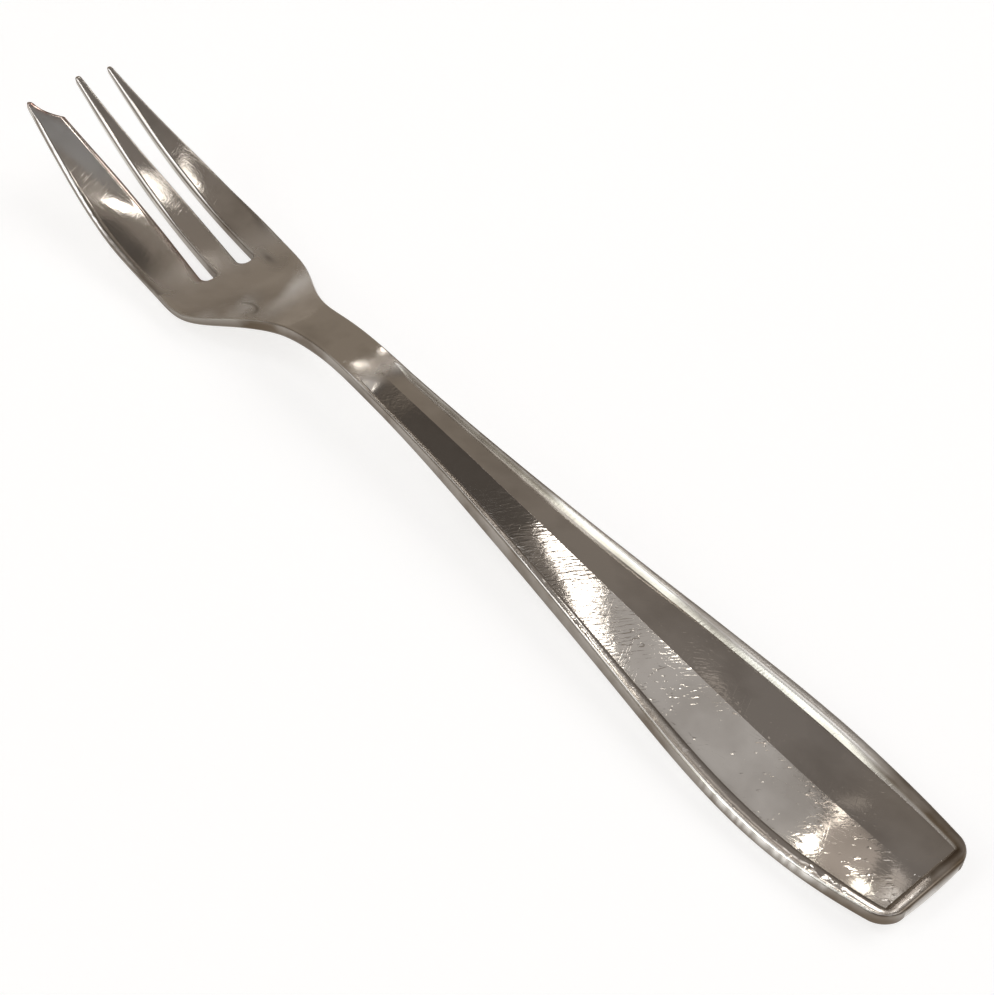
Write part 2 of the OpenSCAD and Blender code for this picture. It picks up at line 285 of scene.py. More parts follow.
# %% Slots
INNER_PLACES = (0, 0.3, 0.65, 1)
broad_inner = Batten(pegs(notch_x, INNER_PLACES, (2.85, 2.3, 2.35, 3.3)))
middle_left = Batten(pegs(tip_x, INNER_PLACES, (0.65, 0.5, -0.2, -1.3)))
middle_right = Batten(pegs(tip_x, INNER_PLACES, (-2.8, -3.1, -2.75, -2.2)))
outer_inner = Batten(pegs(outer_tip_x, INNER_PLACES, (-5.2, -5.0, -5.3, -6.1)))
left_slot_w = float(broad_inner(root_x) - middle_left(root_x))
right_slot_w = float(middle_right(root_x) - outer_inner(root_x))
left_slot_y = float(broad_inner(root_x) + middle_left(root_x)) / 2
right_slot_y = float(middle_right(root_x) + outer_inner(root_x)) / 2
print("slots", round(left_slot_w, 2), "and", round(right_slot_w, 2), "mm wide at their roots")

# %% [markdown]
# ## The side view
# From the side a fork is a long S: the handle lies low with its end turned up, the neck arches, the palm
# dips to its heel, and the tines sweep up. A bend modifier makes one even arc only. So one batten carries
# the edges, and another says how far the middle stands over them: a low crown on the handle, and less
# than nothing in the dish of the palm.

# %% Side view
handle_low = 2.3
end_lift = 0.75
neck_rise = 8.55
palm_low = 2.95
tip_rise = 13.6
crown_h = 0.4
end_sink = 0.35
dish_h = 1.1

edge_line = Batten([
    (0, handle_low + end_lift),
    (0.06 * handle_l, handle_low + end_lift / 3),
    (0.13 * handle_l, handle_low),
    (0.225 * handle_l, blend(handle_low, neck_rise, 0.04)),
    (0.405 * handle_l, blend(handle_low, neck_rise, 0.26)),
    (0.6 * handle_l, blend(handle_low, neck_rise, 0.52)),
    (0.82 * handle_l, blend(handle_low, neck_rise, 0.775)),
    (0.975 * handle_l, blend(handle_low, neck_rise, 0.935)),
    (neck_x + 0.46 * neck_l, blend(palm_low, neck_rise, 0.99)),
    (palm_x + 0.05 * palm_l, blend(palm_low, neck_rise, 0.755)),
    (palm_x + 0.43 * palm_l, blend(palm_low, neck_rise, 0.36)),
    (palm_x + 0.81 * palm_l, palm_low),
    (root_x + 0.105 * tine_l, blend(palm_low, tip_rise, 0.05)),
    (root_x + 0.42 * tine_l, blend(palm_low, tip_rise, 0.285)),
    (root_x + 0.76 * tine_l, blend(palm_low, tip_rise, 0.665)),
    (tip_x, tip_rise)])
crown_line = Batten([
    (0, -end_sink),
    (0.06 * handle_l, crown_h / 4),
    (0.145 * handle_l, crown_h),
    (0.48 * handle_l, 0.9 * crown_h),
    (0.82 * handle_l, 0.6 * crown_h),
    (neck_x, crown_h / 4),
    (neck_x + 0.77 * neck_l, 0),
    (palm_x + 0.24 * palm_l, -0.1 * dish_h),
    (palm_x + 0.52 * palm_l, -0.45 * dish_h),
    (palm_x + 0.81 * palm_l, -0.95 * dish_h),
    (root_x + 0.105 * tine_l, -0.95 * dish_h),
    (root_x + 0.42 * tine_l, -0.68 * dish_h),
    (tip_x, -0.32 * dish_h)])


def blank_z(x, f):
    """Height of the plain face. f runs across: -1 at the right edge, 0 in the middle, 1 at the left."""
    return edge_line(x) + crown_line(x) * (1 - f * f)


print("neck crest", neck_rise, "mm, heel of the palm", palm_low, "mm, tips", tip_rise, "mm")

# %% [markdown]
# ## Thickness and back
# The blank was rolled thick at the neck, where a fork would bend, and thin towards the tips. A solidify
# modifier gives one thickness everywhere. Two battens give the real change, in the middle and at the side
# walls, and the back between them is softly crowned.

# %% Thickness
handle_t = 2.75
neck_t = 3.1
palm_t = 1.9
tip_t = 0.95
end_wall = 1.55
handle_wall = 2.2
neck_wall = 1.65
tip_wall = 0.8
back_power = 2.5

middle_t = Batten([
    (0, 0.63 * handle_t),
    (0.06 * handle_l, 0.93 * handle_t),
    (0.13 * handle_l, handle_t),
    (0.24 * handle_l, 0.97 * handle_t),
    (0.5 * handle_l, blend(handle_t, neck_t, 0.3)),
    (neck_x + 0.46 * neck_l, neck_t),
    (palm_x + 0.14 * palm_l, blend(palm_t, neck_t, 0.65)),
    (palm_x + 0.52 * palm_l, blend(palm_t, neck_t, 0.17)),
    (palm_x + 0.81 * palm_l, palm_t),
    (root_x + 0.06 * tine_l, blend(tip_t, palm_t, 0.7)),
    (root_x + 0.45 * tine_l, blend(tip_t, palm_t, 0.42)),
    (tip_x, tip_t)])
edge_t = Batten([
    (0, end_wall),
    (0.24 * handle_l, blend(end_wall, handle_wall, 0.25)),
    (0.5 * handle_l, 0.97 * handle_wall),
    (0.71 * handle_l, handle_wall),
    (0.93 * handle_l, blend(tip_wall, handle_wall, 0.5)),
    (neck_x + 0.62 * neck_l, neck_wall),
    (palm_x + 0.24 * palm_l, blend(tip_wall, neck_wall, 0.75)),
    (palm_x + 0.62 * palm_l, blend(tip_wall, neck_wall, 0.35)),
    (root_x, blend(tip_wall, neck_wall, 0.23)),
    (tip_x, tip_wall)])


def back_z(x, f):
    return blank_z(x, f) - blend(middle_t(x), edge_t(x), np.abs(f) ** back_power)


print("thick", neck_t, "mm at the neck,", palm_t, "mm at the palm and", tip_t, "mm at the tips")

# %% [markdown]
# ## The facets of the handle
# The die leaves two facets that meet in a ridge and run out near the neck. Two flat faces would do for a
# new fork, but hand polishing pillows a facet a little, and a mirror shows it. So each falls from the
# ridge in an almost straight line.

# %% Facets
ridge_h = 1.0
border_share = 0.21
panel_share = 1 - border_share
run_out = 0.955
PILLOW = 0.07

facet_fall = Batten([
    (0, 0),
    (0.06 * handle_l, 0.45 * ridge_h),
    (0.145 * handle_l, ridge_h),
    (0.36 * handle_l, 1.05 * ridge_h),
    (0.6 * handle_l, ridge_h),
    (0.8 * handle_l, 0.75 * ridge_h),
    (0.95 * handle_l, 0.6 * ridge_h),
    (handle_l, 0.55 * ridge_h)])


def struck_left(x):
    """How much of the struck pattern is left: 1 on the handle, and 0 from the neck on."""
    return 1 - ramp(x / neck_x, run_out, 1)


def facet_z(x, f):
    out = np.minimum(1, np.abs(f) / panel_share)
    return edge_line(x) + crown_line(x) - facet_fall(x) * blend(out, out * out, PILLOW)


print("the facets fall up to", round(1.05 * ridge_h, 2), "mm from the ridge to the groove")

# %% [markdown]
# ## The border of the handle
# A fine groove and a half-round border follow the sides and the square end. On the right the groove is
# worn away, and the facet sweeps up in a shallow cove. A bevelled curve would need a mitre at each
# corner. Here one smooth rule joins both directions, so the border goes round the corners as the struck
# one does.

# %% Border
border_end_w = 1.4
corner_power = 4
bead_power = 3
BEAD_EDGE = 0.75
COVE_END = 0.55
SIDE_SOFT = 0.3


def on_left(f):
    """0 on the right half, and 1 on the left one from a little off the middle line."""
    return ramp(f, 0, SIDE_SOFT)


def across_border(x, f):
    """0 at the groove and 1 at the outer edge of the border, on the sides and at the end."""
    side = np.clip((np.abs(f) - panel_share) / border_share, 0, 1)
    end = np.clip(1 - x / border_end_w, 0, 1)
    return np.minimum(1, (side**corner_power + end**corner_power) ** (1 / corner_power))


def bead(v):
    """The half-round section, which falls less at the outer edge than in the groove."""
    u = np.where(v < 0.5, 1 - 2 * v, BEAD_EDGE * (2 * v - 1))
    return (1 - u**bead_power) ** (1 / bead_power)


def worn_cove(v):
    """The worn section on the right: a hollow that rises to the border's crest."""
    return np.where(v < COVE_END, np.sin(math.pi / 2 * np.minimum(1, v / COVE_END)), bead(v))


def struck_z(x, f):
    v = across_border(x, f)
    border = blend(bead(v), worn_cove(v), on_left(-f))
    return blend(facet_z(x, f), edge_line(x), border)


def face_z(x, f):
    return blend(blank_z(x, f), struck_z(x, f), struck_left(x))


print("border", round(border_share * handle_hw, 2), "mm wide at the widest place")

# %% [markdown]
# ## Waves in the polish
# Nothing polished by hand for years is perfectly fair. Slow waves, a few thousandths of a millimetre
# high, show only in the reflections. A bump map could fake them, but in the mesh they are part of the
# exported shape too. They are drawn at random from a fixed seed.

# %% Waves
chance = np.random.default_rng(19)
WAVES = 14
WAVE_LENGTHS = (5, 13)
WAVE_STEEP = 0.00035
wave_len = chance.uniform(*WAVE_LENGTHS, WAVES)
wave_turn = chance.uniform(0, math.pi, WAVES)
wave_start = chance.uniform(0, 2 * math.pi, WAVES)
wave_h = WAVE_STEEP * wave_len


def waves(x, y):
    total = np.zeros(np.broadcast(x, y).shape)
    for length, turn, start, height in zip(wave_len, wave_turn, wave_start, wave_h):
        way = x * math.cos(turn) + y * math.sin(turn)
        total += height * np.sin(2 * math.pi * way / length + start)
    return total


print(WAVES, "waves, the highest", round(float(wave_h.max()), 4), "mm")

# %% [markdown]
# ## Nicks in the border
# Forks hit each other in the drawer, and the proud border takes the blows. Eighty boolean cuts would
# break up the clean rings of faces. So a nick is a soft dip of about a hundredth of a millimetre. Steep
# dips look like squiggles, so the depth is tied to the width.

# %% Nicks
NICKS = 80
NICK_PLACES = (2, 82)
RIGHT_AND_LEFT = (-1.0, 1.0)
NICKS_BY_SIDE = (0.4, 0.6)
NICK_ACROSS = (0.35, 0.95)
NICK_WIDTHS = (0.15, 0.5)
NICK_STEEP = (0.01, 0.05)
NICK_REACH = 0.3
nick_x = chance.uniform(*NICK_PLACES, NICKS)
nick_side = chance.choice(RIGHT_AND_LEFT, NICKS, p=NICKS_BY_SIDE)
nick_v = chance.uniform(*NICK_ACROSS, NICKS)
nick_w = chance.uniform(*NICK_WIDTHS, NICKS)
nick_h = nick_w * chance.uniform(*NICK_STEEP, NICKS)


def nicks(x, f):
    """How far the nicks have cut into the border."""
    v = (np.abs(f) - panel_share) / border_share
    total = np.zeros(np.broadcast(x, f).shape)
    for place, side, middle, width, height in zip(nick_x, nick_side, nick_v, nick_w, nick_h):
        cut = bump_at(x - place, width) * bump_at(v - middle, NICK_REACH)
        total += height * cut * (np.sign(f) == side)
    return total * struck_left(x)


print(NICKS, "nicks, the deepest", round(float(nick_h.max()), 3), "mm")

# %% [markdown]
# ## A knock in the palm
# Something round left a shallow oval dent in the palm, and there is a smudge by the right slot. A stain
# alone would look painted on, because a dent bends the reflections. So the dent is in the shape. Painted
# shade darkens its far edge in the colour, and that shade and the smudge go to the material.

# %% Knock
KNOCK_X, KNOCK_Y = 107.3, 3.1
KNOCK_L, KNOCK_W, KNOCK_H = 2.7, 1.2, 0.04
KNOCK_TURN = math.radians(-8)
# Painted shade: the far edge of the dent is darkened in the colour, as the shaded side of a dent.
KNOCK_SHADE, KNOCK_SHADE_W, KNOCK_SHADE_LEAN = 0.85, 0.16, 0.4
SMUDGE_X, SMUDGE_Y = 116.8, -6.3
SMUDGE_L, SMUDGE_W, SMUDGE_DIRT = 1.5, 0.5, 0.75


def in_knock(x, y):
    """A place on the palm, along and across the dent, where 1 is the edge of the dent."""
    along = (x - KNOCK_X) * math.cos(KNOCK_TURN) + (y - KNOCK_Y) * math.sin(KNOCK_TURN)
    over = (y - KNOCK_Y) * math.cos(KNOCK_TURN) - (x - KNOCK_X) * math.sin(KNOCK_TURN)
    return along / KNOCK_L, over / KNOCK_W


def knock(x, y):
    along, over = in_knock(x, y)
    return -KNOCK_H * np.clip(1 - along**2 - over**2, 0, None)


def knock_shade_and_smudge(x, y):
    """Painted shade along the far edge of the dent, and the smudge by the right slot."""
    along, over = in_knock(x, y)
    far_side = np.clip(-over - KNOCK_SHADE_LEAN * along, 0, 1)
    edge = bump_at(np.hypot(along, over) - 1, KNOCK_SHADE_W) * far_side
    smudge = bump_at(np.hypot((x - SMUDGE_X) / SMUDGE_L, (y - SMUDGE_Y) / SMUDGE_W), 1)
    return KNOCK_SHADE * edge + SMUDGE_DIRT * smudge


print("dent", 2 * KNOCK_L, "by", 2 * KNOCK_W, "mm and", KNOCK_H, "mm deep")

# %% [markdown]
# ## Lanes across the stem
# Handle, neck and palm are one surface, cut where the CAD regions meet. An even grid would need millions
# of faces before its rims look round. So the lanes of points crowd where the shape turns quickly: over
# the rims, in the groove and along the ridge.

# %% Lanes across the stem
rim_r = 0.25
RIM_STEPS = 6
BORDER_STEPS = 14
PANEL_STEPS = 40
rim_in = 1 - np.cos(np.linspace(0, math.pi / 2, RIM_STEPS + 1))


def rim_fall(d, r):
    """How far a rounded rim of radius r has fallen at a distance d in from the side wall."""
    return r * (1 - round_off(np.clip(1 - d / r, 0, 1)))


def lanes_of_side(x, plan):
    """Places across one half, from the side wall at 1 to just off the middle line."""
    width = half_width(plan, x)
    rim = 1 - rim_r * rim_in / width
    share = np.sin(np.linspace(0, math.pi / 2, BORDER_STEPS + 1))[1:]
    border = blend(rim[:, -1:], panel_share, share)
    swing = np.cos(np.linspace(0, math.pi, PANEL_STEPS + 1))[1:-1]
    panel = panel_share * (1 + swing) / 2 * np.ones_like(x)
    return np.concatenate([rim, border, panel], axis=1), width


lane_count = lanes_of_side(np.array([[neck_x]]), left_plan)[0].shape[1]
print(lane_count, "lanes on each side of the middle line")

# %% [markdown]
# ## Darker stretches, painted shade and painted glints on the handle's border and walls
# Some stretches of the border and the square end are darker and browner. The side walls are darkened by
# painted shade. Near the end, painted glints lift that shade from the left wall in a row of small dashes.
# All this could be painted on by hand. Rules in millimetres can be read again later.

# %% Darker stretches, painted shade and glints on border and walls
NECK_DARK_L = 5
END_DARK_STRETCH = (8, 18)
GLINTS_FROM = (5, 8)
GLINTS_TO = (18, 24)
GLINT_L, GLINT_DRIFT_L = 1.3, 5.3
GLINT_MIDDLE, GLINT_SWING = 0.65, 0.35
END_DARK = 0.95
END_DARK_FADE = (0.1, 1.8)
END_CREST_X, END_CREST_W, END_CREST_LIGHTER = 0.55, 0.2, 0.85
END_CREST_SIDE = (-0.1, 0.4)


def border_darkening(x, middle, length, dirt_and_shade, neck_start, neck_darkening):
    """Darker along one border: round one place, and over the last stretch before the neck."""
    near_neck = ramp(x, neck_start, neck_start + NECK_DARK_L)
    return dirt_and_shade * bump_at(x - middle, length) + neck_darkening * near_neck


def left_border_darkening(x):
    return border_darkening(x, middle=28, length=8, dirt_and_shade=0.45, neck_start=50, neck_darkening=0.5)


def right_border_darkening(x):
    along = border_darkening(x, middle=34, length=4, dirt_and_shade=0.5, neck_start=53, neck_darkening=0.7)
    return along + 1 - ramp(x, *END_DARK_STRETCH)


def end_darkening(x, f):
    """The square end is brown, apart from the crest of its border on the left."""
    crest = bump_at(x - END_CREST_X, END_CREST_W) * ramp(f, *END_CREST_SIDE)
    return END_DARK * (1 - ramp(x, *END_DARK_FADE)) * (1 - END_CREST_LIGHTER * crest)


def painted_wall_glints(x, f):
    """How far painted glints lift the painted shade from the left wall near the end."""
    drift = 2 * np.sin(2 * math.pi * x / GLINT_DRIFT_L)
    glints = GLINT_MIDDLE + GLINT_SWING * np.sin(2 * math.pi * x / GLINT_L + drift)
    return glints * ramp(x, *GLINTS_FROM) * (1 - ramp(x, *GLINTS_TO)) * on_left(f)


# The glints are painted into the colour: they lift the painted shade from the left wall in dashes.
print("the hand polishes the left wall from", GLINTS_FROM[0], "to", GLINTS_TO[1], "mm off the handle end")

# %% [markdown]
# ## Four values of wear and shade for each point
# Each point carries four values for the material: dirt with painted shade, rubbed edges, bare base metal
# and satin, a dulled polish. Noise alone would spread wear evenly, but real wear follows the shape: dirt
# lies in the groove, and edges and crests are rubbed bright. Painted shade darkens the side walls.

# %% Wear of the stem
BORDER_SOFT = 0.3
GROOVE_V, GROOVE_W = 0.04, 0.16
BESIDE_GROOVE_W, BESIDE_GROOVE_DIRT = 0.05, 0.35
LEFT_GROOVE_DIRT, RIGHT_GROOVE_DIRT = 0.6, 0.35
WALL_SHADE_W = 0.12
EDGE_RUB_W = 0.45
CREST_V, CREST_RUB_W = 0.55, 0.25
PALM_SATIN_L = 0.4 * palm_l
NECK_SATIN_X, NECK_SATIN_W = neck_x - 1.2, 2.2
BORDER_SATIN = 0.8
# The back is a little darker all over.
BACK_DARKENING = 0.2


def stem_wear_and_shade(x, y, f, from_wall):
    """The four values for the face, and the four for the back."""
    v = across_border(x, f)
    struck = struck_left(x)
    on_border = struck * ramp(v, 0, BORDER_SOFT)
    right_border = on_border * on_left(-f)
    groove = struck * bump_at(v - GROOVE_V, GROOVE_W) * (v > 0)
    groove += BESIDE_GROOVE_DIRT * struck * bump_at(np.abs(f) - panel_share, BESIDE_GROOVE_W)
    dirt_and_shade = groove * np.where(f < 0, RIGHT_GROOVE_DIRT, LEFT_GROOVE_DIRT) + end_darkening(x, f)
    dirt_and_shade += right_border * right_border_darkening(x) + on_border * on_left(f) * left_border_darkening(x)
    # Painted shade: the side walls are darkened in the colour, apart from the painted glints on the left.
    wall_shade = bump_at(from_wall, WALL_SHADE_W)
    face_dirt_and_shade = np.clip(dirt_and_shade + wall_shade * (1 - painted_wall_glints(x, f)) + knock_shade_and_smudge(x, y), 0, 1)
    edge_rub = bump_at(from_wall, EDGE_RUB_W)
    face_rub = np.maximum(edge_rub, struck * bump_at(v - CREST_V, CREST_RUB_W))
    bare = np.zeros_like(f)
    satin = ramp(x - palm_x, 0, PALM_SATIN_L) + bump_at(x - NECK_SATIN_X, NECK_SATIN_W)
    satin = satin + BORDER_SATIN * right_border
    face = np.stack([face_dirt_and_shade, face_rub, bare, satin], axis=-1)
    back = np.stack([BACK_DARKENING + wall_shade, edge_rub, bare, satin], axis=-1)
    return face, back


print("satin from", round(palm_x, 1), "mm on, over the first", round(PALM_SATIN_L, 1), "mm of the palm")

# %% [markdown]
# ## Rings of the stem
# Like a boat's hull, the stem is a row of sections: each ring goes over the face from right to left and
# back underneath. Even stations would do for a plain bar. Here they are closer at the square end and on
# the palm, where the shape turns most. Neighbouring skins end in the same ring.

# %% Rings of the stem
SEAM = 0.04
END_PITCH, STEM_PITCH, HEAD_PITCH = 0.2, 0.4, 0.22
END_L = 14
END_BORDER_STEPS = 16
END_BORDER_START = 0.2
PAST_BORDER = 0.03


def ring_points(x, y, top, under):
    x = x * np.ones_like(y)
    over = np.stack([x, y, top], axis=-1)
    below = np.stack([x, y, under], axis=-1)
    return np.concatenate([over, below[:, ::-1]], axis=1)


def stem_rings(stations):
    x = np.array(stations, float)[:, None]
    left, left_w = lanes_of_side(x, left_plan)
    right, right_w = lanes_of_side(x, right_plan)
    f = np.concatenate([-right, 0 * x, left[:, ::-1]], axis=1)
    width = np.where(f > 0, left_w, right_w)
    y = f * width
    from_wall = (1 - np.abs(f)) * width
    fall = rim_fall(np.minimum(x, from_wall), rim_r)
    top = face_z(x, f) - fall - nicks(x, f) + waves(x, y) + knock(x, y)
    under = np.maximum(back_z(x, f) + fall, 0)
    face, back = stem_wear_and_shade(x, y, f, from_wall)
    return ring_points(x, y, top, under), np.concatenate([face, back[:, ::-1]], axis=1)


def spread(start, end, pitch):
    """Even stations from start to end, with one more very close to each end for a clean seam."""
    count = max(2, round((end - start) / pitch))
    inner = np.linspace(start, end, count + 1)[1:-1]
    return np.concatenate([[start, start + SEAM], inner, [end - SEAM, end]])


handle_stations = np.concatenate([
    rim_r * rim_in,
    border_end_w * np.sin(np.linspace(END_BORDER_START, math.pi / 2, END_BORDER_STEPS)),
    spread(border_end_w + PAST_BORDER, END_L, END_PITCH),
    spread(END_L, neck_x, STEM_PITCH)])
handle_stations = np.unique(np.round(handle_stations, 4))
neck_stations = spread(neck_x, palm_x, STEM_PITCH)
palm_stations = spread(palm_x, root_x, HEAD_PITCH)
print("stations:", len(handle_stations), len(neck_stations), len(palm_stations))

# %% [markdown]
# ## Edges and tips of the tines
# A tine is cut from the same sheet as the palm. The slim ones' left rims are worn rounder towards the
# tip, the broad one has a ground bevel, and the points are blunt, because they may touch lips. A bevel
# modifier gives an edge one width. These rules let each edge change along the tine.

# %% Edges of the tines
tip_r = 0.7
TIP_LEFT = 0.12
WORN_RIM = 0.55
WORN_FROM, WORN_TO = 8, 17
bevel_share = 0.1
bevel_start = 0.2
GRIND_H = 0.02
GRIND_SHORT, GRIND_LONG = 1.5, 2.3
INNER_WORN_H, INNER_WORN_W = 0.1, 0.9
SLOT_LEAST = 0.02


def worn_rim(x):
    return blend(rim_r, WORN_RIM, ramp(x - root_x, WORN_FROM, WORN_TO))


def slot_opening(x, slot_w):
    """The round end of a slot: from nearly closed at the root to fully open."""
    return np.maximum(SLOT_LEAST, round_off(1 - np.minimum(1, 2 * (x - root_x) / slot_w)))


def edge_cut(x, y, low, high, bevel, bare):
    """The bevel on the left edge, a little uneven from the stone, and the worn inner edge."""
    bevel_now = bevel * ramp(x - root_x, 0, bevel_start * tine_l)
    short_wave = np.sin(2 * math.pi * x / GRIND_SHORT)
    long_wave = np.sin(2 * math.pi * x / GRIND_LONG + 1)
    uneven = 1 + GRIND_H * short_wave + GRIND_H * long_wave
    u = (y - low) / (high - low)
    ground = bevel_now * uneven * np.clip(1 - (1 - u) / bevel_share, 0, None)
    return ground + bare * INNER_WORN_H * np.clip(1 - (y - low) / INNER_WORN_W, 0, None) ** 2


def tip_left(x, x_end):
    """How much of the section is left: all of it, and then less and less round the blunt point."""
    turn = np.clip((x - x_end + tip_r) / tip_r, 0, 1)
    return np.where(x < x_end - tip_r, 1, np.maximum(TIP_LEFT, round_off(turn)))


print("rims of", rim_r, "mm wear to", WORN_RIM, "mm from", WORN_FROM, "to", WORN_TO, "mm past the roots")

# %% [markdown]
# ## Wear of the tines
# Dirt stays near the roots of the slots, and near the roots painted shade darkens the tines' edges.
# Edges and points are rubbed bright, and at the hollow of the broad tine the plate is gone. One colour for
# all would hide this, so the tines carry the same four values of wear and shade as the stem.

# %% Wear of the tines
SLOT_DIRT_W, ROOT_DIRT_AND_SHADE_W, BROAD_DIRT_W = 0.12, 0.35, 0.45
SLOT_DIRT = 0.6
TINE_RUB_W, TIP_RUB_L = 0.4, 2.5
BARE_W, BARE_LEAST = 0.8, 0.35
BARE_FROM, BARE_TO = -2, 1
SATIN_END = 8.0


def tine_wear_and_shade(x, x_end, y, low, high, bare):
    edge = np.minimum(y - low, high - y)
    rooted = 1 - ramp(x - root_x, WORN_FROM, WORN_TO)
    dirt_w = blend(SLOT_DIRT_W, ROOT_DIRT_AND_SHADE_W + BROAD_DIRT_W * bare, rooted)
    # Near the roots the darkening along the edges is partly painted shade over the rims.
    edge_dirt_and_shade = blend(SLOT_DIRT, 1, rooted) * bump_at(edge, dirt_w)
    dirt_and_shade = np.clip(edge_dirt_and_shade + knock_shade_and_smudge(x, y), 0, 1)
    rub = np.maximum(bump_at(edge, TINE_RUB_W), bump_at(x - x_end, TIP_RUB_L))
    at_notch = ramp(x - notch_x, BARE_FROM, BARE_TO)
    metal = bare * bump_at(y - low, BARE_W) * blend(BARE_LEAST, 1, at_notch)
    satin = (1 - ramp(x - root_x, 0, SATIN_END)) * np.ones_like(y)
    return np.stack([dirt_and_shade, rub, metal, satin], axis=-1)


print("base metal shows within about", BARE_W, "mm of the broad tine's inner edge")

# %% [markdown]
# ## Rings of the tines
# Face and back of a tine follow the palm's two surfaces, and its walls follow the plan. A tapered and
# bent box wouldn't meet the palm in one smooth sheet. Rings from the same drawing do, and at the tip they
# shrink towards their middle.

# %% Rings of the tines
INNER_STEPS = 26
LOW_RIM_SHARE, HIGH_RIM_SHARE = 0.35, 0.3


def tine_lanes(low, high, low_rim, high_rim):
    """Places across a tine, from its right wall to its left one, crowded over both rims."""
    from_low = low + low_rim * rim_in
    from_high = high - high_rim * rim_in[::-1]
    share = np.linspace(0, 1, INNER_STEPS + 1)[1:-1]
    between = blend(from_low[:, -1:], from_high[:, :1], share)
    return np.concatenate([from_low, between, from_high], axis=1)


def tine_rings(x, x_end, low, high, low_rim, high_rim, bevel=0.0, bare=0.0):
    low_rim = np.minimum(low_rim, LOW_RIM_SHARE * (high - low))
    high_rim = np.minimum(high_rim, HIGH_RIM_SHARE * (high - low))
    y = tine_lanes(low, high, low_rim, high_rim)
    low_fall = rim_fall(y - low, low_rim)
    fall = low_fall + rim_fall(high - y, high_rim)
    fall_below = low_fall + rim_fall(high - y, np.minimum(high_rim, rim_r))
    f = y / head_hw
    cut = edge_cut(x, y, low, high, bevel, bare)
    top = blank_z(x, f) - fall - cut + waves(x, y) + knock(x, y)
    under = back_z(x, f) + fall_below
    left = tip_left(x, x_end)
    half = (top + under) / 2
    y_now = blend((low + high) / 2, y, left)
    rings = ring_points(x, y_now, blend(half, top, left), blend(half, under, left))
    wear_and_shade = tine_wear_and_shade(x, x_end, y, low, high, bare)
    return rings, np.concatenate([wear_and_shade, wear_and_shade[:, ::-1]], axis=1)


print(INNER_STEPS + 2 * RIM_STEPS, "steps across the face of each tine")

# %% [markdown]
# ## The three tines
# The broad tine ends in a hollow cut that leaves one spike, and the other two are slim and pointed.
# Copies of one tine could be stretched to fit, but each has its own edges, so each comes from its own
# battens. Stations crowd at the round end of the slot and at the tip.

# %% Three tines
bevel_h = 0.35
spike_w = 0.95
hollow_power = 2
ROUND_STEPS, NOTCH_STEPS, TIP_STEPS = 14, 30, 12


def tine_stations(slot_w, x_end, start_of_end):
    slot = root_x + slot_w / 2 * (1 - np.cos(np.linspace(0, math.pi / 2, ROUND_STEPS)))
    body = spread(root_x + slot_w / 2, start_of_end, HEAD_PITCH)
    notch = np.linspace(start_of_end, x_end - tip_r, NOTCH_STEPS)
    tip = x_end - tip_r + tip_r * np.sin(np.linspace(0, math.acos(TIP_LEFT), TIP_STEPS))
    return np.unique(np.round(np.concatenate([slot, body, notch, tip]), 4))[:, None]


def broad_rings():
    x = tine_stations(left_slot_w, broad_tip_x, notch_x)
    opened = slot_opening(x, left_slot_w)
    inner = blend(left_slot_y, broad_inner(np.minimum(x, notch_x)), opened)
    hollow = 1 - np.clip(1 - (x - notch_x) / notch_l, 0, 1) ** hollow_power
    spike_y = float(left_plan(broad_tip_x)) - spike_w
    low = blend(inner, spike_y, hollow)
    return tine_rings(x, broad_tip_x, low, left_plan(x), rim_r * opened, rim_r + 0 * x, bevel_h, 1.0)


def middle_rings():
    x = tine_stations(min(left_slot_w, right_slot_w), tip_x, tip_x - 2 * tip_r)
    low_open = slot_opening(x, right_slot_w)
    high_open = slot_opening(x, left_slot_w)
    low = blend(right_slot_y, middle_right(x), low_open)
    high = blend(left_slot_y, middle_left(x), high_open)
    return tine_rings(x, tip_x, low, high, rim_r * low_open, worn_rim(x) * high_open)


def outer_rings():
    x = tine_stations(right_slot_w, outer_tip_x, outer_tip_x - 2 * tip_r)
    opened = slot_opening(x, right_slot_w)
    high = blend(right_slot_y, outer_inner(x), opened)
    return tine_rings(x, outer_tip_x, -right_plan(x), high, rim_r + 0 * x, worn_rim(x) * opened)


print("broad tine", round(float(left_plan(root_x) - left_slot_y), 2), "mm wide at its root")

# %% [markdown]
# ## From rings to a mesh
# The real surface has no grid, so the mesh only has to be fine and clean. Blender could bridge the rings
# itself, but then the order of the faces isn't ours. Neighbouring rings are joined by quads, and each end
# is closed by a row of flat quads behind sharp edges, which keeps the skin's shading clean.

# %% From rings to a mesh


def ring_quads(count, size):
    """The quads of the skin, and those of the two end caps."""
    index = np.arange(count * size).reshape(count, size)
    beside = np.roll(index, -1, axis=1)
    skin = np.stack([index[:-1], index[1:], beside[1:], beside[:-1]], axis=-1).reshape(-1, 4)
    j = np.arange(size // 2 - 1)
    cap = np.stack([j, j + 1, size - 2 - j, size - 1 - j], axis=-1)
    return skin, np.concatenate([cap, cap[:, ::-1] + index[-1, 0]])


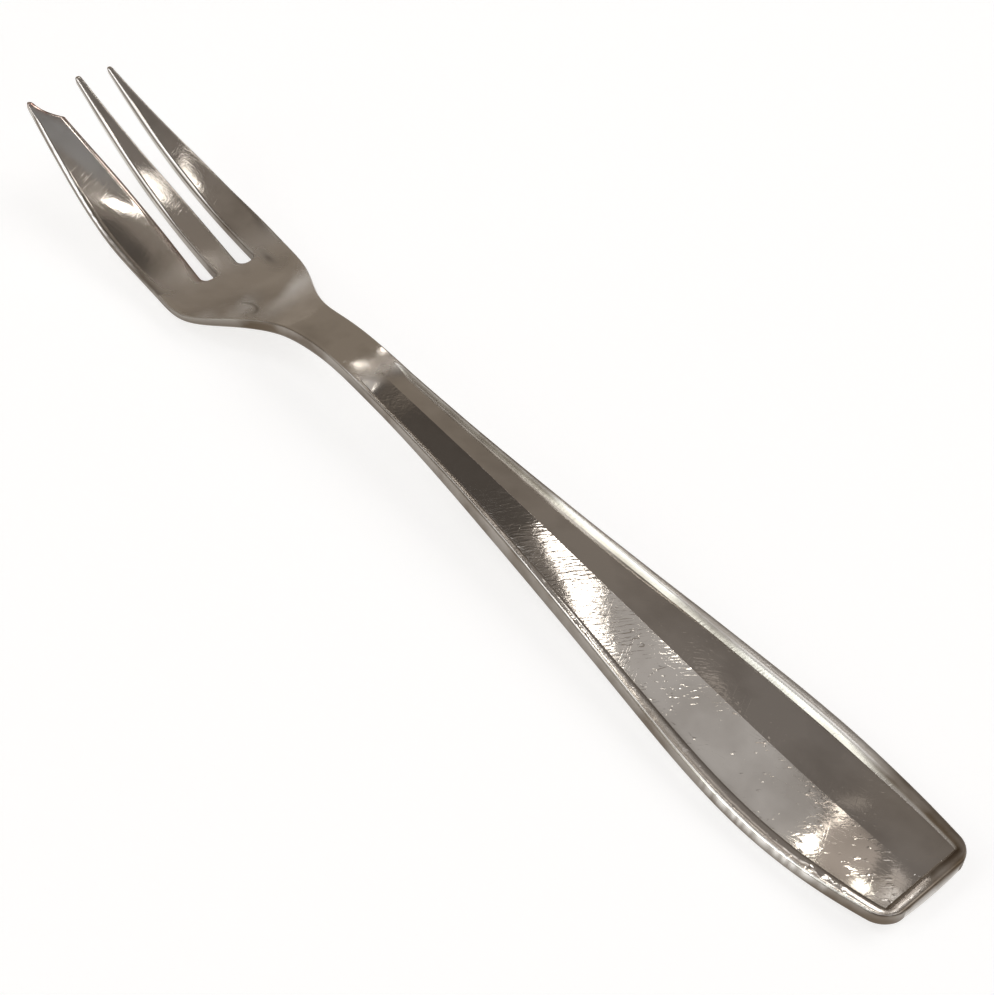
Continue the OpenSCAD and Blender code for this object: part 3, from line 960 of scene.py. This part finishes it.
def ring_mesh(name, rings, wear_and_shade):
    count, size = rings.shape[:2]
    skin, caps = ring_quads(count, size)
    quads = np.concatenate([skin, caps])
    points = np.clip((rings.reshape(-1, 3) - (tip_x / 2, 0, 0)) * MM, *cad_box)
    mesh = bpy.data.meshes.new(name)
    mesh.from_pydata(points.tolist(), [], quads.tolist())
    mesh.polygons.foreach_set("use_smooth", np.arange(len(quads)) < len(skin))
    ends = np.empty(2 * len(mesh.edges), int)
    mesh.edges.foreach_get("vertices", ends)
    ring_of = ends.reshape(-1, 2) // size
    on_cap = (ring_of == 0).all(axis=1) | (ring_of == count - 1).all(axis=1)
    mesh.attributes.new("sharp_edge", "BOOLEAN", "EDGE").data.foreach_set("value", on_cap)
    marks = mesh.attributes.new("wear_and_shade", "FLOAT_COLOR", "POINT")
    marks.data.foreach_set("color", wear_and_shade.ravel())
    mesh.update()
    return mesh


print("two rings of eight points make", sum(len(part) for part in ring_quads(2, 8)), "quads")

# %% [markdown]
# ## The six pieces
# The real fork is one piece of metal, in which the CAD names six regions. One skin over all would be
# simpler, but each solid needs a piece that stands for it. So there are six skins, which share their end
# rings, and the seams can't be seen.

# %% Six pieces


def make_piece(name, node, rings_wear_and_shade):
    mesh = ring_mesh(name, *rings_wear_and_shade)
    piece = bpy.data.objects.new(name, mesh)
    bpy.context.scene.collection.objects.link(piece)
    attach(piece, "root")
    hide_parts(node)
    print(name, len(mesh.vertices), "points,", len(mesh.polygons), "faces")
    return piece


pieces = [
    make_piece("handle_skin", "handle", stem_rings(handle_stations)),
    make_piece("neck_skin", "neck", stem_rings(neck_stations)),
    make_piece("palm_skin", "palm", stem_rings(palm_stations)),
    make_piece("broad_tine_skin", "broad_tine", broad_rings()),
    make_piece("middle_tine_skin", "middle_tine", middle_rings()),
    make_piece("outer_tine_skin", "outer_tine", outer_rings())]

# %% [markdown]
# ## Small tools for materials
# Colours are picked as sRGB hex values, but shaders count light, so one function translates. A tree could
# be wired by hand in the editor. One small function that adds a node with its settings and links keeps it
# readable as text. Pattern sizes are in millimetres.

# %% Tools for materials
FACTOR, COLOUR_A, COLOUR_B, COLOUR_OUT = 0, 6, 7, 2


def linear(hex_colour):
    """An sRGB colour such as 8C7F70, as the linear values that the shaders use."""
    values = [int(hex_colour[i:i + 2], 16) / 255 for i in (0, 2, 4)]
    bright = [v / 12.92 if v <= 0.04045 else ((v + 0.055) / 1.055) ** 2.4 for v in values]
    return (*bright, 1.0)


def add(tree, kind, settings=None, links=None, out=0):
    """Add a node, set its options and unlinked inputs, link the others, and give one output."""
    node = tree.nodes.new(kind)
    for name, value in (settings or {}).items():
        if isinstance(name, str) and hasattr(node, name):
            setattr(node, name, value)
        else:
            node.inputs[name].default_value = value
    for name, socket in (links or {}).items():
        tree.links.new(socket, node.inputs[name])
    return node.outputs[out] if node.outputs else None


def new_tree(owner):
    """An empty node tree for a material or a world."""
    owner.use_nodes = True
    owner.node_tree.nodes.clear()
    return owner.node_tree


def per_mm(size):
    """Texture scale at which one cell of the pattern is this many millimetres wide."""
    return 1 / (size * MM)


print("the screen's middle grey 808080 is", round(linear("808080")[0], 3), "of white light")

# %% [markdown]
# ## The finish: silver plate, hand polished and worn
# Silver plate is a few hundredths of a millimetre of silver, grown on the blank in a bath and polished by
# hand. To the eye it is a bright, slightly warm mirror, with fine scratches, short scuffs and a thin
# brown tarnish from use. The same brown also carries painted shade. Painted images could carry that, but
# noise laid out in millimetres runs on over the seams, and the values of wear and shade say where it goes.

# %% Silver plate
silver = bpy.data.materials.new("silver_plate_hand_polished_worn")
tree = new_tree(silver)
coords = add(tree, "ShaderNodeTexCoord", out="Object")
wear_and_shade_values = add(tree, "ShaderNodeAttribute", {"attribute_name": "wear_and_shade"}, out="Color")
satin = wear_and_shade_values.node.outputs["Alpha"]
dirt_and_shade, rub, bare = add(tree, "ShaderNodeSeparateColor", None, {"Color": wear_and_shade_values}).node.outputs
print("the finish reads", wear_and_shade_values.node.attribute_name, "in four values")

# %% [markdown]
# ## Scratches, scuffs and the ripple of the buff
# Years in a drawer leave hairlines, the thumb leaves short rubs, the table leaves scuffs near the end,
# and the buffing wheel a faint ripple. Each is a noise with its size in millimetres, stretched for
# scratches. Real hairlines are about a fiftieth of a millimetre wide, too fine to show here, so all marks
# are drawn several times wider.

# %% Scratches and scuffs
CLOUD_SIZE, PATCH_SIZE, RIPPLE_SIZE = 7.0, 2.2, 0.45


def scratches(length, width, angle, low, high):
    """Marks of that length and width in mm, where the noise lies between low and high."""
    settings = {
        "vector_type": "TEXTURE",
        "Rotation": (0, 0, math.radians(angle)),
        "Scale": (length * MM, width * MM, length * MM)}
    laid = add(tree, "ShaderNodeMapping", settings, {"Vector": coords})
    grain = add(tree, "ShaderNodeTexNoise", {"Scale": 1.0, "Detail": 1.0}, {"Vector": laid})
    return add(tree, "ShaderNodeMapRange", {"From Min": low, "From Max": high}, {"Value": grain})


cloud = add(tree, "ShaderNodeTexNoise", {"Scale": per_mm(CLOUD_SIZE), "Detail": 3.0}, {"Vector": coords})
cloud = add(tree, "ShaderNodeMapRange", {"From Min": 0.42, "From Max": 0.66}, {"Value": cloud})
patch = add(tree, "ShaderNodeTexNoise", {"Scale": per_mm(PATCH_SIZE), "Detail": 2.0}, {"Vector": coords})
patch = add(tree, "ShaderNodeMapRange", {"From Min": 0.4, "From Max": 0.58}, {"Value": patch})
ripple = add(tree, "ShaderNodeTexNoise", {"Scale": per_mm(RIPPLE_SIZE), "Detail": 2.0}, {"Vector": coords})
along = scratches(length=9.0, width=0.12, angle=14, low=0.62, high=0.74)
across = scratches(length=6.0, width=0.12, angle=-62, low=0.64, high=0.76)
hairlines = add(tree, "ShaderNodeMath", {"operation": "MAXIMUM"}, {0: along, 1: across})
rubs = scratches(length=1.4, width=0.28, angle=51, low=0.4, high=0.75)
scuffs = scratches(length=0.9, width=0.45, angle=51, low=0.57, high=0.7)
print("patterns drawn with", len(tree.nodes), "nodes so far")

# %% [markdown]
# ## Where hands have been
# Rubs are thickest where the thumb rests on the handle. Scuffs lie in patches between there and the end,
# and the head has none. A painted mask could say so, but the place along the fork is enough, and it comes
# from the object's own coordinates.

# %% Where hands have been
THUMB_X = (46 - tip_x / 2) * MM
THUMB_NEAR, THUMB_FAR = 14 * MM, 24 * MM
GRIP_END = (neck_x - tip_x / 2) * MM
GRIP_SOFT = 4 * MM
SCUFF_FADE = 10 * MM
AWAY = 0.15

place = add(tree, "ShaderNodeSeparateXYZ", None, {"Vector": coords})
off_thumb = add(tree, "ShaderNodeMath", {"operation": "SUBTRACT", 1: THUMB_X}, {0: place})
off_thumb = add(tree, "ShaderNodeMath", {"operation": "ABSOLUTE"}, {0: off_thumb})
by_thumb = add(
    tree, "ShaderNodeMapRange",
    {"From Min": THUMB_FAR, "From Max": THUMB_NEAR, "To Min": AWAY, "To Max": 1.0}, {"Value": off_thumb})
by_end = add(
    tree, "ShaderNodeMapRange",
    {"From Min": THUMB_X, "From Max": THUMB_X - SCUFF_FADE, "To Min": AWAY, "To Max": 1.0}, {"Value": place})
on_grip = add(
    tree, "ShaderNodeMapRange",
    {"From Min": GRIP_END + GRIP_SOFT, "From Max": GRIP_END - GRIP_SOFT}, {"Value": place})
for limit in (by_thumb, on_grip):
    rubs = add(tree, "ShaderNodeMath", {"operation": "MULTIPLY"}, {0: rubs, 1: limit})
for limit in (patch, by_end, on_grip):
    scuffs = add(tree, "ShaderNodeMath", {"operation": "MULTIPLY"}, {0: scuffs, 1: limit})
print("thumb at", round(THUMB_X / MM, 1), "mm, grip ends at", round(GRIP_END / MM, 1), "mm from the middle")

# %% [markdown]
# ## Colour: silver, tarnish, painted shade and base metal
# Clean silver reflects almost all light, a little warmer than white. Its tarnish is a brown film, in
# faint clouds and thick where dirt is, and rubbing takes it off. The same brown paints shade on the side
# walls, along the far edge of the dent and over the tines' edges near their roots, and darkens stretches
# of the border and the square end. Where the plate is gone, pinkish base metal shows in flecks. One flat
# grey would look like steel.

# %% Colour of the silver
# The second colour is the brown of tarnish, and also of painted shade.
CLEAN_SILVER, TARNISH_AND_SHADE_BROWN, BASE_METAL = "E6E2DC", "6A5D4E", "C89C90"
CLOUD_TARNISH, DIRT_AND_SHADE_BROWN, RUBBED_OFF = 0.25, 0.85, -0.15
FLECK_SIZE = 0.9

tarnish_and_shade = add(tree, "ShaderNodeMath", {"operation": "MULTIPLY", 1: CLOUD_TARNISH}, {0: cloud})
for value, share in ((dirt_and_shade, DIRT_AND_SHADE_BROWN), (rub, RUBBED_OFF)):
    tarnish_and_shade = add(tree, "ShaderNodeMath", {"operation": "MULTIPLY_ADD", 1: share}, {0: value, 2: tarnish_and_shade})
plate = add(
    tree, "ShaderNodeMix",
    {"data_type": "RGBA", COLOUR_A: linear(CLEAN_SILVER), COLOUR_B: linear(TARNISH_AND_SHADE_BROWN)},
    {FACTOR: tarnish_and_shade}, out=COLOUR_OUT)
flecks = add(tree, "ShaderNodeTexNoise", {"Scale": per_mm(FLECK_SIZE), "Detail": 2.0}, {"Vector": coords})
flecks = add(
    tree, "ShaderNodeMapRange",
    {"From Min": 0.35, "From Max": 0.6, "To Min": 0.3, "To Max": 1.0}, {"Value": flecks})
showing = add(tree, "ShaderNodeMath", {"operation": "MULTIPLY"}, {0: bare, 1: flecks})
colour = add(
    tree, "ShaderNodeMix",
    {"data_type": "RGBA", COLOUR_B: linear(BASE_METAL)},
    {FACTOR: showing, COLOUR_A: plate}, out=COLOUR_OUT)
print("colours:", CLEAN_SILVER, TARNISH_AND_SHADE_BROWN, BASE_METAL)

# %% [markdown]
# ## Haze and relief
# Polished metal has a roughness near 0.05. Old polish is hazier in clouds, and more so on the satin palm
# and where the value of dirt and painted shade is high. Scratches could be painted as lines, but they are
# grooves: in the bump they glint near a lamp's reflection and vanish elsewhere, as on the fork. A metal
# keeps the default IOR.

# %% Haze and relief
POLISHED, CLOUDED = 0.055, 0.09
DIRT_AND_SHADE_HAZE, SATIN_HAZE = 0.25, 0.2
HAIRLINE_H, RUB_H, RIPPLE_H, SCUFF_H = -0.0006, 0.0028, 0.0022, -0.005

haze = add(
    tree, "ShaderNodeMapRange",
    {"From Min": 0.0, "From Max": 1.0, "To Min": POLISHED, "To Max": CLOUDED}, {"Value": cloud})
for value, share in ((dirt_and_shade, DIRT_AND_SHADE_HAZE), (satin, SATIN_HAZE)):
    haze = add(tree, "ShaderNodeMath", {"operation": "MULTIPLY_ADD", 1: share}, {0: value, 2: haze})
relief = add(tree, "ShaderNodeMath", {"operation": "MULTIPLY", 1: HAIRLINE_H}, {0: hairlines})
for value, height in ((rubs, RUB_H), (ripple, RIPPLE_H), (scuffs, SCUFF_H)):
    relief = add(tree, "ShaderNodeMath", {"operation": "MULTIPLY_ADD", 1: height}, {0: value, 2: relief})
bumps = add(tree, "ShaderNodeBump", {"Strength": 1.0, "Distance": MM}, {"Height": relief})
surface = add(
    tree, "ShaderNodeBsdfPrincipled",
    {"Metallic": 1.0},
    {"Base Color": colour, "Roughness": haze, "Normal": bumps})
add(tree, "ShaderNodeOutputMaterial", None, {"Surface": surface})
for piece in pieces:
    piece.data.materials.append(silver)
print("silver plate on", len(pieces), "pieces, with", len(tree.nodes), "nodes")

# %% [markdown]
# ## The floor: matt white paper
# The photo's ground is pure white with a faint soft shadow. More light would wash out the metal. So a
# sheet of uncoated paper, which gives the eye an even matt white, takes the shadow, and a little glow
# that only camera, mirror and glass rays see lifts it to white. It lies a hair below the fork, so that no
# faces touch.

# %% Floor
FLOOR_SIZE = 12.0
FLOOR_GAP = 0.02 * MM
GLOW = 0.64
PAPER, PAPER_ROUGH = "C4C4C4", 0.9
WHITE = "FFFFFF"
reach = FLOOR_SIZE / 2
floor_corners = [(-reach, -reach, 0), (reach, -reach, 0), (reach, reach, 0), (-reach, reach, 0)]
floor_mesh = bpy.data.meshes.new("floor")
floor_mesh.from_pydata(floor_corners, [], [(0, 1, 2, 3)])
floor = bpy.data.objects.new("floor", floor_mesh)
floor.location.z = -FLOOR_GAP
bpy.context.scene.collection.objects.link(floor)

paper = bpy.data.materials.new("floor_matt_white_paper")
tree = new_tree(paper)
seen = add(tree, "ShaderNodeLightPath", out="Is Camera Ray")
rays = seen.node.outputs
for ray in ("Is Glossy Ray", "Is Transmission Ray"):
    seen = add(tree, "ShaderNodeMath", {"operation": "ADD"}, {0: seen, 1: rays[ray]})
glow = add(tree, "ShaderNodeMath", {"operation": "MULTIPLY", 1: GLOW}, {0: seen})
surface = add(
    tree, "ShaderNodeBsdfPrincipled",
    {"Base Color": linear(PAPER), "Roughness": PAPER_ROUGH, "Emission Color": linear(WHITE)},
    {"Emission Strength": glow})
add(tree, "ShaderNodeOutputMaterial", None, {"Surface": surface})
floor_mesh.materials.append(paper)
print("floor of", FLOOR_SIZE, "m")

# %% [markdown]
# ## The room
# A mirror-like fork shows its surroundings, so most of its colour is the room's. A sky texture would turn
# it blue. A dim warm grey, a little warmer ahead of the tines, gives the brownish grey of the photo and
# leaves the bright patches to the lamps.

# %% Room
BEHIND_WALL, AHEAD_WALL = "78726E", "867C71"
AHEAD_FROM, AHEAD_TO = 0.25, 0.6
world = bpy.data.worlds.new("dim_warm_room")
bpy.context.scene.world = world
tree = new_tree(world)
way = add(tree, "ShaderNodeTexCoord", out="Generated")
way = add(tree, "ShaderNodeSeparateXYZ", None, {"Vector": way})
in_front = add(tree, "ShaderNodeMapRange", {"From Min": AHEAD_FROM, "From Max": AHEAD_TO}, {"Value": way})
walls = add(
    tree, "ShaderNodeMix",
    {"data_type": "RGBA", COLOUR_A: linear(BEHIND_WALL), COLOUR_B: linear(AHEAD_WALL)},
    {FACTOR: in_front}, out=COLOUR_OUT)
room = add(tree, "ShaderNodeBackground", {"Strength": 1.0}, {"Color": walls})
add(tree, "ShaderNodeOutputWorld", None, {"Surface": room})
print("walls:", BEHIND_WALL, "and", AHEAD_WALL)

# %% [markdown]
# ## Softboxes
# Light for silver is laid out by what each face looks at. One large lamp would turn all faces white at
# once. So each bright patch gets its own softbox where the metal mirrors it: an area lamp, set by how
# bright it looks, where 1 is white. Its power follows from its size.

# %% Softboxes
LAMP_DISTANCE = 1.3
FORK = (0, 0, 0)


def softbox(name, centre, size, radiance, hex_colour, target=None, spin=0.0):
    """An area lamp of that size in metres. It faces the target, or straight down."""
    light = bpy.data.lights.new(name, "AREA")
    light.shape = "RECTANGLE"
    light.size, light.size_y = size
    light.energy = radiance * math.pi * size[0] * size[1]
    light.color = linear(hex_colour)[:3]
    lamp = bpy.data.objects.new(name, light)
    lamp.location = centre
    lamp.visible_camera = False
    if target is None:
        lamp.rotation_euler = (0, 0, math.radians(spin))
    else:
        lamp.rotation_euler = (Vector(centre) - Vector(target)).to_track_quat("Z", "Y").to_euler()
    bpy.context.scene.collection.objects.link(lamp)


def toward(azimuth, elevation):
    """A place at the lamps' distance from the fork, in that direction."""
    a = math.radians(azimuth)
    e = math.radians(elevation)
    return (
        LAMP_DISTANCE * math.cos(e) * math.cos(a),
        LAMP_DISTANCE * math.cos(e) * math.sin(a),
        LAMP_DISTANCE * math.sin(e))


def count_lamps():
    return sum(item.type == "LIGHT" for item in bpy.context.scene.objects)


print("lamps stand", LAMP_DISTANCE, "m from the fork;", count_lamps(), "made so far")

# %% [markdown]
# ## Glints on the facet and the tines
# The left facet has a white patch, and each tine a short glint. They could be painted into the material,
# but a glint has to move when the fork turns. Small bright softboxes on a rig overhead give real
# reflections. Their places were found by following mirrored view rays up to the rig.

# %% Glints
RIG_H = 1.0
WARM, DAYLIGHT, ROSE = "FFF9F2", "F0F6FF", "FFF4EE"
softbox("facet_softbox", (0.333, -0.058, RIG_H), (0.06, 0.028), 7.0, WARM, spin=45)
softbox("ridge_softbox", (0.325, -0.091, RIG_H), (0.05, 0.024), 4.0, WARM, spin=41)
softbox("middle_tine_strip", (0.463, -0.385, RIG_H), (0.035, 0.04), 5.0, WARM, spin=20)
softbox("outer_tine_strip", (0.458, -0.256, RIG_H), (0.028, 0.022), 4.5, WARM, spin=20)
softbox("broad_tine_strip", (0.553, -0.537, RIG_H), (0.035, 0.08), 4.5, WARM, spin=33)
softbox("edge_strip", (0.595, 0.44, RIG_H), (0.13, 0.48), 1.2, DAYLIGHT)
softbox("inner_edge_strip", (0.575, -0.685, RIG_H), (0.2, 0.04), 3.0, ROSE, spin=-39)
print(count_lamps(), "lamps")

# %% [markdown]
# ## Panels for the borders and the grey facet
# The border is a bright line on the left and a soft white band on the right, and the left facet is light
# grey towards the end. White stripes in the colour would stay put in other views. So long softboxes draw
# the lines, because a half-round border squeezes a whole side of the room into one line, and dim panels
# give the greys.

# %% Panels
COOL, SKY, LEAF, CREAM = "F8FBFF", "BFD4E6", "F4FAF6", "FFF4E8"
PANEL_GAP = 0.05
softbox("grey_panel", (0.2, -0.145, RIG_H), (0.2, 0.17), 0.26, WHITE)
softbox("cool_panel", (0.43, -0.47, RIG_H + PANEL_GAP), (0.12, 0.1), 0.12, SKY)
softbox("border_strip", (0.33, -0.53, RIG_H), (0.06, 0.05), 0.6, WHITE)
softbox("border_side", toward(76, 24), (0.3, 0.95), 2.6, LEAF, FORK)
softbox("border_over", (0.27, 0.28, RIG_H), (0.14, 0.44), 1.5, COOL)
softbox("rim_softbox", (0.42, 0.31, RIG_H), (0.13, 0.46), 1.6, COOL)
softbox("shoulder_panel", toward(-18.5, 9), (0.25, 0.2), 0.07, CREAM, FORK)
print(count_lamps(), "lamps")

# %% [markdown]
# ## Large soft lamps
# The floor needs even light for its soft shadow, and the fork has to look right from all sides. A sun
# lamp would cast a hard shadow. Three large softboxes stand where the faces don't look in the photo's
# view, so they stay out of its reflections.

# %% Large soft lamps
LARGE = (1.0, 1.0)
softbox("key_softbox", toward(-118, 50), LARGE, 1.5, WHITE, FORK)
softbox("fill_softbox", toward(58, 48), LARGE, 0.4, COOL, FORK)
softbox("top_softbox", toward(141, 72), LARGE, 0.7, WHITE, FORK)
print(count_lamps(), "lamps")

# %% [markdown]
# ## Low lamps over the end and the neck
# The handle end and the neck have blobs and arcs of light of their own. A lamp on the rig would also show
# in other faces of the same slope. A small lamp close over one place is seen by that place alone. Each is
# given by where it would be on the rig, and is shrunk towards its place.

# %% Low lamps
IVORY, PEACH, SHELL = "FFF9EE", "FFF0E4", "FFF6EE"
END_PLACE = (-0.0715, 0.003, 0.3)
NECK_PLACE = (0.0055, 0.001, 0.15)


def low_softbox(name, place, centre, size, radiance, hex_colour, spin=0.0):
    """A small lamp over one place (x, y, height). From there it looks like one on the rig."""
    share = place[2] / RIG_H
    x = blend(place[0], centre[0], share)
    y = blend(place[1], centre[1], share)
    softbox(name, (x, y, place[2]), (size[0] * share, size[1] * share), radiance, hex_colour, spin=spin)


low_softbox("neck_box", NECK_PLACE, (0.715, -0.5), (0.1, 0.07), 4.0, WARM)
low_softbox("neck_spot", NECK_PLACE, (0.83, -0.733), (0.05, 0.04), 6.0, WARM)
low_softbox("end_blob", END_PLACE, (0.325, -0.231), (0.045, 0.04), 6.0, IVORY)
low_softbox("end_arc", END_PLACE, (0.272, -0.251), (0.08, 0.012), 1.8, CREAM, spin=24)
low_softbox("end_ridge_blob", END_PLACE, (0.224, -0.276), (0.03, 0.02), 4.0, CREAM, spin=24)
low_softbox("end_blob_low", END_PLACE, (0.36, -0.413), (0.06, 0.05), 6.0, IVORY)
low_softbox("end_border_strip", END_PLACE, (0.43, -0.613), (0.07, 0.05), 3.5, WHITE, spin=-23)
low_softbox("end_arc_low", END_PLACE, (0.298, -0.449), (0.118, 0.015), 0.4, CREAM, spin=36)
low_softbox("end_panel", END_PLACE, (0.31, -0.335), (0.16, 0.16), 0.22, PEACH)
low_softbox("end_panel_low", END_PLACE, (0.31, -0.5), (0.17, 0.07), 0.3, SHELL)
low_softbox("end_crest", END_PLACE, (0.457, -0.675), (0.036, 0.1), 3.0, WARM)
low_softbox("right_facet_strip", END_PLACE, (0.4, -1.175), (0.155, 0.03), 0.25, CREAM, spin=-52)
print(count_lamps(), "lamps")

# %% [markdown]
# ## Dark flags: black cloth
# Silver looks like silver because bright and dark lie side by side in it. A darker room would dim
# everything, so studios hang black cloth where the metal should go dark, here for the left facet near the
# neck and for the tines. Woven and matt, it gives the eye an even near-black, with a dim warm glow for
# the light it would catch. Only the mirror of the metal sees the flags.

# %% Dark flags
BLACK_CLOTH, CLOTH_GLOW = "080808", "4A443F"
cloth = bpy.data.materials.new("flag_black_cloth")
tree = new_tree(cloth)
surface = add(
    tree, "ShaderNodeBsdfPrincipled",
    {"Base Color": linear(BLACK_CLOTH), "Roughness": 1.0,
     "Emission Color": linear(CLOTH_GLOW), "Emission Strength": 1.0})
add(tree, "ShaderNodeOutputMaterial", None, {"Surface": surface})


def black_flag(name, corners):
    mesh = bpy.data.meshes.new(name)
    mesh.from_pydata([(x, y, RIG_H) for x, y in corners], [], [(0, 1, 2, 3)])
    mesh.materials.append(cloth)
    flag = bpy.data.objects.new(name, mesh)
    flag.visible_camera = False
    flag.visible_shadow = False
    flag.visible_diffuse = False
    bpy.context.scene.collection.objects.link(flag)
    print(name, "hangs", RIG_H, "m over the fork")


black_flag("facet_flag", [(0.388, -0.1), (0.62, -0.13), (0.62, 0.06), (0.388, 0.06)])
black_flag("tine_flag", [(0.65, -0.62), (0.99, -0.92), (0.99, -1.1), (0.65, -0.85)])

# %% [markdown]
# ## View settings
# The standard view shows each colour as it was written. A filmic view would grey the white ground.

# %% Finish
bpy.context.scene.view_settings.view_transform = "Standard"
